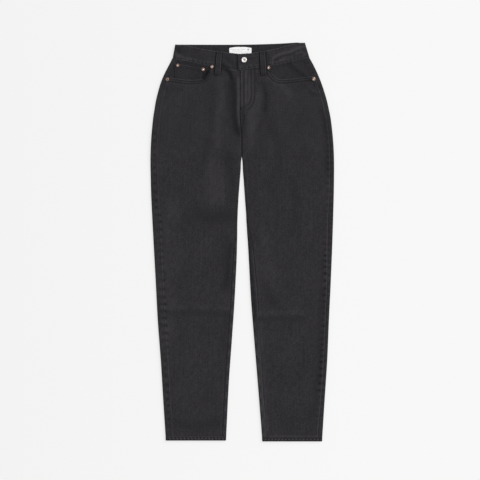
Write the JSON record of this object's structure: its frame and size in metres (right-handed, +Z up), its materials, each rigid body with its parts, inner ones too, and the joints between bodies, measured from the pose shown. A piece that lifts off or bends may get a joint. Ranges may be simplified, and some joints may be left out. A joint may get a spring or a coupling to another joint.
{
  "type": "tapered jeans",
  "caption": "Black washed five-pocket jeans with tapered legs, laid flat on their back with the waist up the page.",
  "frame": {"origin": "centre of the garment's outline, on the surface that it lies on", "axes": "+X to the wearer's left, +Y up to the waist, +Z up from the surface through the front"},
  "size_m": [0.4584, 0.9948, 0.0132],
  "materials": {
    "denim": "washed black denim twill",
    "label_tape": "woven white tape",
    "zip_tape": "woven black tape",
    "button_metal": "polished nickel",
    "rivet_metal": "antique copper"
  },
  "bodies": {
    "root": {"front_right": "denim", "front_left": "denim", "back_right": "denim", "back_left": "denim", "yoke_right": "denim", "yoke_left": "denim", "waistband": "denim", "pocket_facing_right": "denim", "pocket_facing_left": "denim", "coin_pocket": "denim", "back_pocket_right": "denim", "back_pocket_left": "denim", "hem_right": "denim", "hem_left": "denim", "belt_loop_front_right": "denim", "belt_loop_front_left": "denim", "belt_loop_back_right": "denim", "belt_loop_back": "denim", "belt_loop_back_left": "denim", "zip": "zip_tape", "label": "label_tape", "button": "button_metal", "rivet_coin_outer": "rivet_metal", "rivet_coin_inner": "rivet_metal", "rivet_right_inner": "rivet_metal", "rivet_right_outer": "rivet_metal", "rivet_left_inner": "rivet_metal", "rivet_left_outer": "rivet_metal"}
  },
  "joints": []
}
